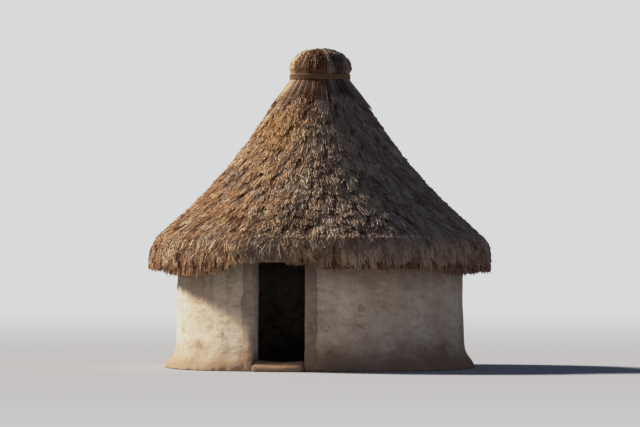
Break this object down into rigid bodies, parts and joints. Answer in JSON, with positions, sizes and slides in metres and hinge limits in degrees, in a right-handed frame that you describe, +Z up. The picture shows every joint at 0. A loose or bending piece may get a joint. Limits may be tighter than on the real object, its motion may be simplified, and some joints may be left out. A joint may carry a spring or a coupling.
{
  "type": "rondavel hut",
  "caption": "Round mud-walled hut with a doorway, a rafter-and-hoop roof frame and a tall hollow-curved thatched cone ending in a tied topknot.",
  "frame": {"origin": "centre of the round floor, on the ground the hut stands on", "axes": "+Z up along the axis of the round plan; the doorway faces -Y; +X to the right of someone who looks in from outside"},
  "size_m": [5.53, 5.5297, 5.1986],
  "materials": {
    "mud_plaster": "matte",
    "grey_mud": "matte",
    "beaten_earth": "matte",
    "bark_pole": "matte",
    "twigs": "matte",
    "straw": "matte",
    "old_straw": "matte",
    "fibre_rope": "matte"
  },
  "bodies": {
    "root": {"earth_floor": "beaten_earth", "door_sill": "beaten_earth", "door_surround": "grey_mud", "wall_over_door": "mud_plaster", "wall_plate": "twigs", "rafters": "bark_pole", "apex_spindle": "bark_pole", "topknot": "straw", "topknot_rope": "fibre_rope", "mud_skirt_right": "beaten_earth", "mud_skirt_back": "beaten_earth", "mud_skirt_left": "beaten_earth", "wall_1": "mud_plaster", "wall_2": "mud_plaster", "wall_3": "mud_plaster", "wall_4": "mud_plaster", "wall_5": "mud_plaster", "wall_6": "mud_plaster", "wall_7": "mud_plaster", "wall_8": "mud_plaster", "wall_9": "mud_plaster", "wall_10": "mud_plaster", "lintel_pole_1": "bark_pole", "lintel_pole_2": "bark_pole", "lintel_pole_3": "bark_pole", "hoop_1": "twigs", "hoop_2": "twigs", "hoop_3": "twigs", "hoop_4": "twigs", "hoop_5": "twigs", "hoop_6": "twigs", "hoop_7": "twigs", "hoop_8": "twigs", "thatch_course_1": "old_straw", "thatch_course_2": "straw", "thatch_course_3": "straw", "thatch_course_4": "straw", "thatch_course_5": "straw", "thatch_course_6": "straw", "thatch_course_7": "straw"}
  },
  "joints": []
}
